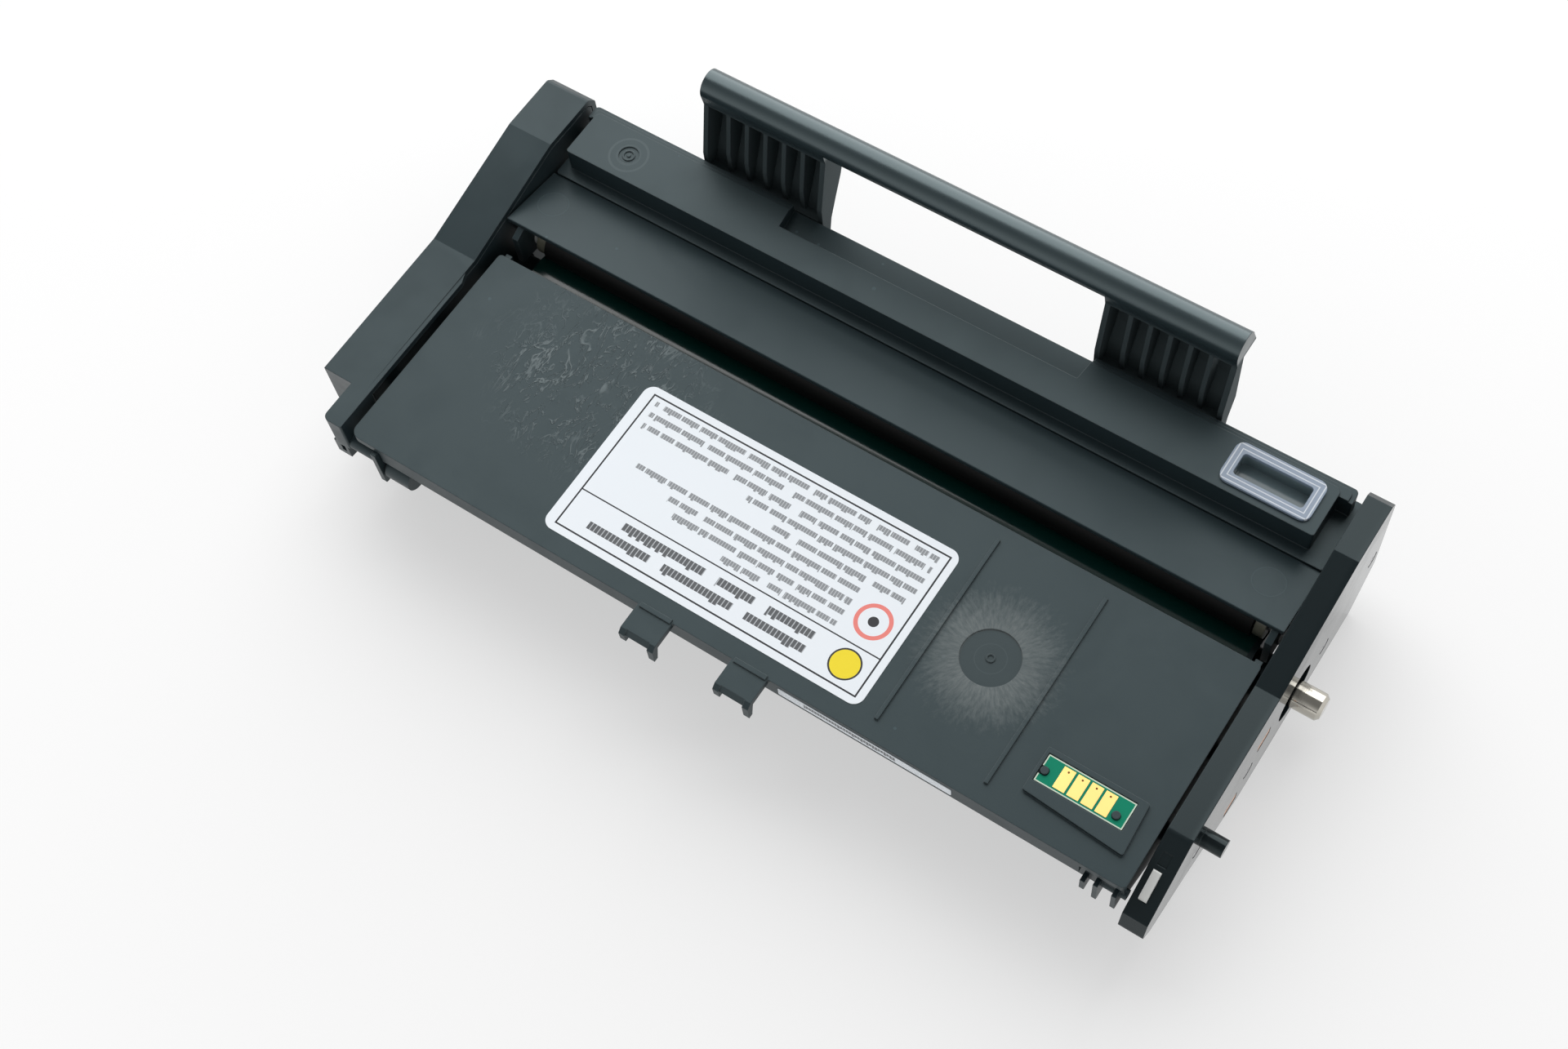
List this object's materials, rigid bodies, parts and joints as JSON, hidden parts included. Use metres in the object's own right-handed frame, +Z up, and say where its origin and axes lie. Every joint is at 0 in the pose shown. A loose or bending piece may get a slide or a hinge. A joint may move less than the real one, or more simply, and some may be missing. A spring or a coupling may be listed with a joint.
{
  "type": "toner cartridge",
  "caption": "Laser printer cartridge with drum, toner trough, waste trough, folded end covers, gear train and a carrying handle.",
  "frame": {"origin": "middle of the base, on the surface that the two end covers stand on", "axes": "+X along the rollers towards the chrome axle end, +Y towards the handle, +Z up"},
  "size_m": [0.282, 0.148, 0.0758],
  "materials": {
    "black_shell": "satin",
    "glossy_shell": "glossy",
    "grey_panel": "satin",
    "label_sheet": "satin",
    "board": "satin",
    "gold": "polished",
    "steel": "satin",
    "chrome": "polished",
    "copper": "polished",
    "drum_coat": "glossy",
    "roll_rubber": "satin",
    "foam": "matte",
    "urethane": "satin",
    "clear_window": "glossy",
    "pale_plastic": "satin",
    "gear_plastic": "satin",
    "clear_film": "glossy"
  },
  "bodies": {
    "shell": {"waste_cover": "black_shell", "info_label": "label_sheet", "edge_label": "label_sheet", "chip_board": "board", "chip_contacts": "gold", "waste_hopper": "black_shell", "charge_bearings": "pale_plastic", "charge_springs": "steel", "blade_bracket": "steel", "cleaning_blade": "urethane", "recovery_film": "clear_film", "drum_axle": "chrome", "developer_bushes": "pale_plastic", "metering_blade": "steel", "metering_screws": "steel", "end_seals": "foam", "supply_bushes": "pale_plastic", "agitator_bushes": "pale_plastic", "toner_hopper": "black_shell", "fill_plug": "pale_plastic", "hopper_lid": "black_shell", "sensor_window": "clear_window", "slot_shield": "grey_panel", "handle": "black_shell", "drive_cover": "black_shell", "drive_frame": "grey_panel", "contact_cover": "glossy_shell", "charge_contact": "copper", "developer_contact": "copper", "locating_pad": "pale_plastic", "cover_screws": "steel"},
    "drum": {"drum_tube": "drum_coat", "drum_gear": "gear_plastic", "drum_flange": "gear_plastic"},
    "developer": {"developer_shaft": "steel", "developer_roll": "roll_rubber", "developer_collars": "pale_plastic", "developer_gear": "gear_plastic"},
    "supply": {"supply_shaft": "steel", "supply_roll": "foam", "supply_gear": "gear_plastic"},
    "stirrer": {"agitator": "black_shell", "agitator_film": "clear_film", "agitator_gear": "gear_plastic"},
    "charger": {"charge_shaft": "steel", "charge_roll": "roll_rubber"},
    "idler": {"idler_gear": "gear_plastic"},
    "reducer": {"compound_gear": "gear_plastic"}
  },
  "joints": [
    {"name": "drum_turn", "type": "hinge", "parent": "shell", "child": "drum", "pos_m": [0, 0.0136, 0.0145], "axis": [1, 0, 0], "continuous": true},
    {"name": "developer_turn", "type": "hinge", "parent": "shell", "child": "developer", "pos_m": [0, 0.02125, 0.03167], "axis": [1, 0, 0], "continuous": true},
    {"name": "supply_turn", "type": "hinge", "parent": "shell", "child": "supply", "pos_m": [0, 0.03255, 0.02567], "axis": [1, 0, 0], "continuous": true},
    {"name": "stirrer_turn", "type": "hinge", "parent": "shell", "child": "stirrer", "pos_m": [0, 0.046, 0.0195], "axis": [1, 0, 0], "continuous": true},
    {"name": "charger_turn", "type": "hinge", "parent": "shell", "child": "charger", "pos_m": [0, 0.00172, 0.02638], "axis": [1, 0, 0], "continuous": true},
    {"name": "idler_turn", "type": "hinge", "parent": "shell", "child": "idler", "pos_m": [0, 0.03295, 0.03686], "axis": [1, 0, 0], "continuous": true},
    {"name": "reducer_turn", "type": "hinge", "parent": "shell", "child": "reducer", "pos_m": [0, 0.04527, 0.03548], "axis": [1, 0, 0], "continuous": true}
  ],
  "couplings": [
    {"joint": "developer_turn", "follows": "drum_turn", "ratio": -1.4737},
    {"joint": "supply_turn", "follows": "drum_turn", "ratio": -1.8667},
    {"joint": "stirrer_turn", "follows": "drum_turn", "ratio": 0.66667},
    {"joint": "charger_turn", "follows": "drum_turn", "ratio": -2.6667},
    {"joint": "idler_turn", "follows": "drum_turn", "ratio": 2.1538},
    {"joint": "reducer_turn", "follows": "drum_turn", "ratio": -1.5556}
  ]
}
